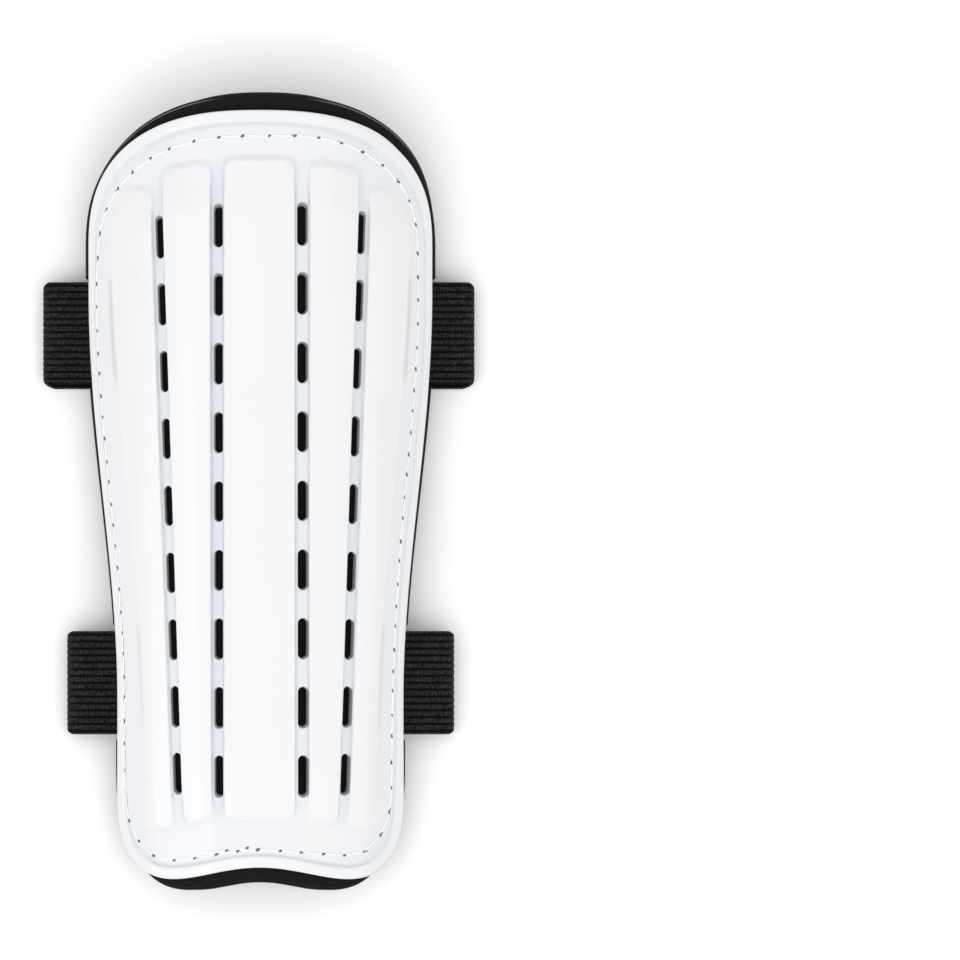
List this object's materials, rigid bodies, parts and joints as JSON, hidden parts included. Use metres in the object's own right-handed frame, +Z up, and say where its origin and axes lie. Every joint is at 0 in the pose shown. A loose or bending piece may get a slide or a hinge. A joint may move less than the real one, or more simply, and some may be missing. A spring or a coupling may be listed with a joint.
{
  "type": "soccer shin guard",
  "caption": "Curved soccer shin guard: a ribbed, vented plastic shell on a foam pad with a cloth lining and elastic leg straps.",
  "frame": {"origin": "on the floor under the middle of the guard, which lies on its straps with its leg hollow down", "axes": "+X across the leg, +Y along the leg towards the knee end, +Z up and out of the guard's front"},
  "size_m": [0.1038, 0.1916, 0.0342],
  "materials": {
    "shell_plastic": "glossy moulded",
    "foam": "matt closed-cell foam",
    "lining_cloth": "brushed knit",
    "elastic": "ribbed woven elastic",
    "thread": "twisted sewing thread"
  },
  "bodies": {
    "root": {"shell": "shell_plastic", "foam_pad": "foam", "lining": "lining_cloth", "strap_upper": "elastic", "strap_lower": "elastic"}
  },
  "joints": []
}
